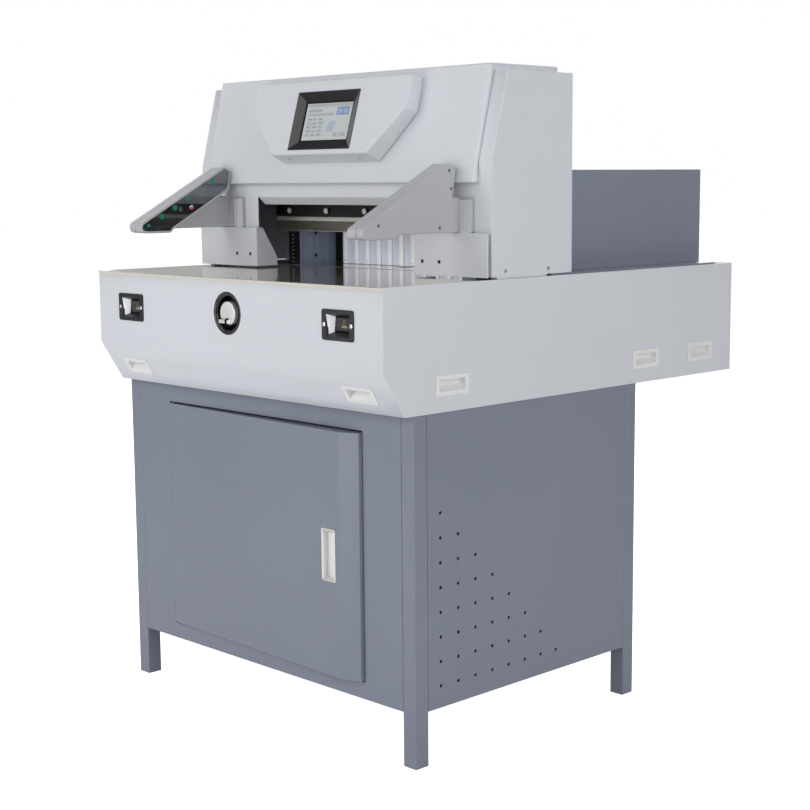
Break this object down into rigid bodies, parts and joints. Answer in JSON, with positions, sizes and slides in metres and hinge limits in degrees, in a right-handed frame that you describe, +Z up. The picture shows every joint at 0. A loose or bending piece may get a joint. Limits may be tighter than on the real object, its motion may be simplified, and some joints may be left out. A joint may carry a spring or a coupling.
{
  "type": "electric paper cutter",
  "caption": "Floor-standing electric guillotine: steel body on a cabinet with a hinged door, tower with knife and clamp, touch screen, guard arms, back gauge and handwheel.",
  "frame": {"origin": "on the floor, under the middle of the whole machine's box", "axes": "+X to the right of someone who faces the front, +Y to the back, +Z up"},
  "size_m": [0.899, 1.0837, 1.324],
  "materials": {
    "pale_paint": "satin light grey powder coat",
    "slate_paint": "satin slate blue-grey powder coat",
    "arm_paint": "satin mid grey powder coat",
    "polished_steel": "mirror-polished and chromed steel",
    "brushed_steel": "ground steel",
    "black_casting": "black machine enamel",
    "blued_steel": "dark blue, polished inner face",
    "white_plastic": "moulded white plastic",
    "black_plastic": "moulded black plastic",
    "charcoal_plastic": "moulded charcoal plastic",
    "screen_glass": "lit touch screen",
    "red_plastic": "red cutting stick",
    "aluminium": "satin aluminium"
  },
  "bodies": {
    "machine": {"body_left_panel": "pale_paint", "body_rear_panel": "pale_paint", "body_right_panel": "pale_paint", "cabinet_back_panel": "slate_paint", "cabinet_floor": "slate_paint", "cabinet_front_panel": "slate_paint", "cabinet_left_panel": "slate_paint", "cabinet_right_panel": "slate_paint", "cross_beam": "black_casting", "cutting_stick": "red_plastic", "display_pod": "pale_paint", "drive_motor": "black_casting", "front_apron": "pale_paint", "front_grip_left": "white_plastic", "front_grip_right": "white_plastic", "front_table": "polished_steel", "handwheel_well": "black_plastic", "left_arm_bracket": "arm_paint", "left_arm_housing": "arm_paint", "left_button_bezel": "charcoal_plastic", "left_grip_front": "white_plastic", "left_grip_middle": "white_plastic", "left_grip_rear": "white_plastic", "left_side_frame": "blued_steel", "left_table_bracket": "pale_paint", "leg_front_left": "slate_paint", "leg_front_right": "slate_paint", "leg_rear_left": "slate_paint", "leg_rear_right": "slate_paint", "machine_base": "black_casting", "power_inlet": "black_plastic", "rear_guard": "slate_paint", "rear_table": "polished_steel", "right_arm_bracket": "arm_paint", "right_arm_housing": "arm_paint", "right_button_bezel": "charcoal_plastic", "right_grip_front": "white_plastic", "right_grip_middle": "white_plastic", "right_grip_rear": "white_plastic", "right_side_frame": "blued_steel", "right_table_bracket": "pale_paint", "screen_bezel": "charcoal_plastic", "touch_screen": "screen_glass", "tower_cover": "pale_paint", "tower_fascia": "pale_paint", "tower_left_panel": "pale_paint", "tower_rear_panel": "pale_paint", "tower_right_panel": "pale_paint"},
    "door": {"cabinet_door": "slate_paint", "door_pull": "white_plastic"},
    "left_button": {"left_cut_button": "black_plastic"},
    "right_button": {"right_cut_button": "black_plastic"},
    "wheel": {"handwheel": "polished_steel", "gauge_screw": "brushed_steel"},
    "crank": {"handwheel_crank": "white_plastic"},
    "gauge": {"back_gauge": "aluminium"},
    "knife_bar": {"knife": "brushed_steel", "knife_carrier": "black_casting"},
    "clamp": {"clamp_beam": "black_casting"},
    "switch": {"main_switch": "black_plastic"}
  },
  "joints": [
    {"name": "door_hinge", "type": "hinge", "parent": "machine", "child": "door", "pos_m": [-0.2962, -0.4605, 0.143], "axis": [0, 0, -1], "range_deg": [0, 110]},
    {"name": "left_button_press", "type": "slide", "parent": "machine", "child": "left_button", "axis": [0, 1, 0], "range_m": [0, 0.004], "stiffness_N_per_m": 400, "springref_m": -0.001},
    {"name": "right_button_press", "type": "slide", "parent": "machine", "child": "right_button", "axis": [0, 1, 0], "range_m": [0, 0.004], "stiffness_N_per_m": 400, "springref_m": -0.001},
    {"name": "wheel_turn", "type": "hinge", "parent": "machine", "child": "wheel", "pos_m": [0, -0.5393, 0.8458], "axis": [0, -1, 0], "range_deg": [-2090, 15842]},
    {"name": "crank_fold", "type": "hinge", "parent": "wheel", "child": "crank", "pos_m": [0.006, -0.5388, 0.8293], "axis": [0, 0, 1], "range_deg": [0, 90]},
    {"name": "gauge_travel", "type": "slide", "parent": "machine", "child": "gauge", "axis": [0, 1, 0], "range_m": [-0.058, 0.44]},
    {"name": "knife_stroke", "type": "slide", "parent": "machine", "child": "knife_bar", "axis": [-0.342, 0, -0.9397], "range_m": [0, 0.0825]},
    {"name": "clamp_press", "type": "slide", "parent": "machine", "child": "clamp", "axis": [0, 0, -1], "range_m": [0, 0.0795]},
    {"name": "switch_rock", "type": "hinge", "parent": "machine", "child": "switch", "pos_m": [-0.33, 0.5343, 0.758], "axis": [1, 0, 0], "range_deg": [0, 12]}
  ],
  "couplings": [
    {"joint": "wheel_turn", "follows": "gauge_travel", "rad_per_m": 628.32}
  ]
}
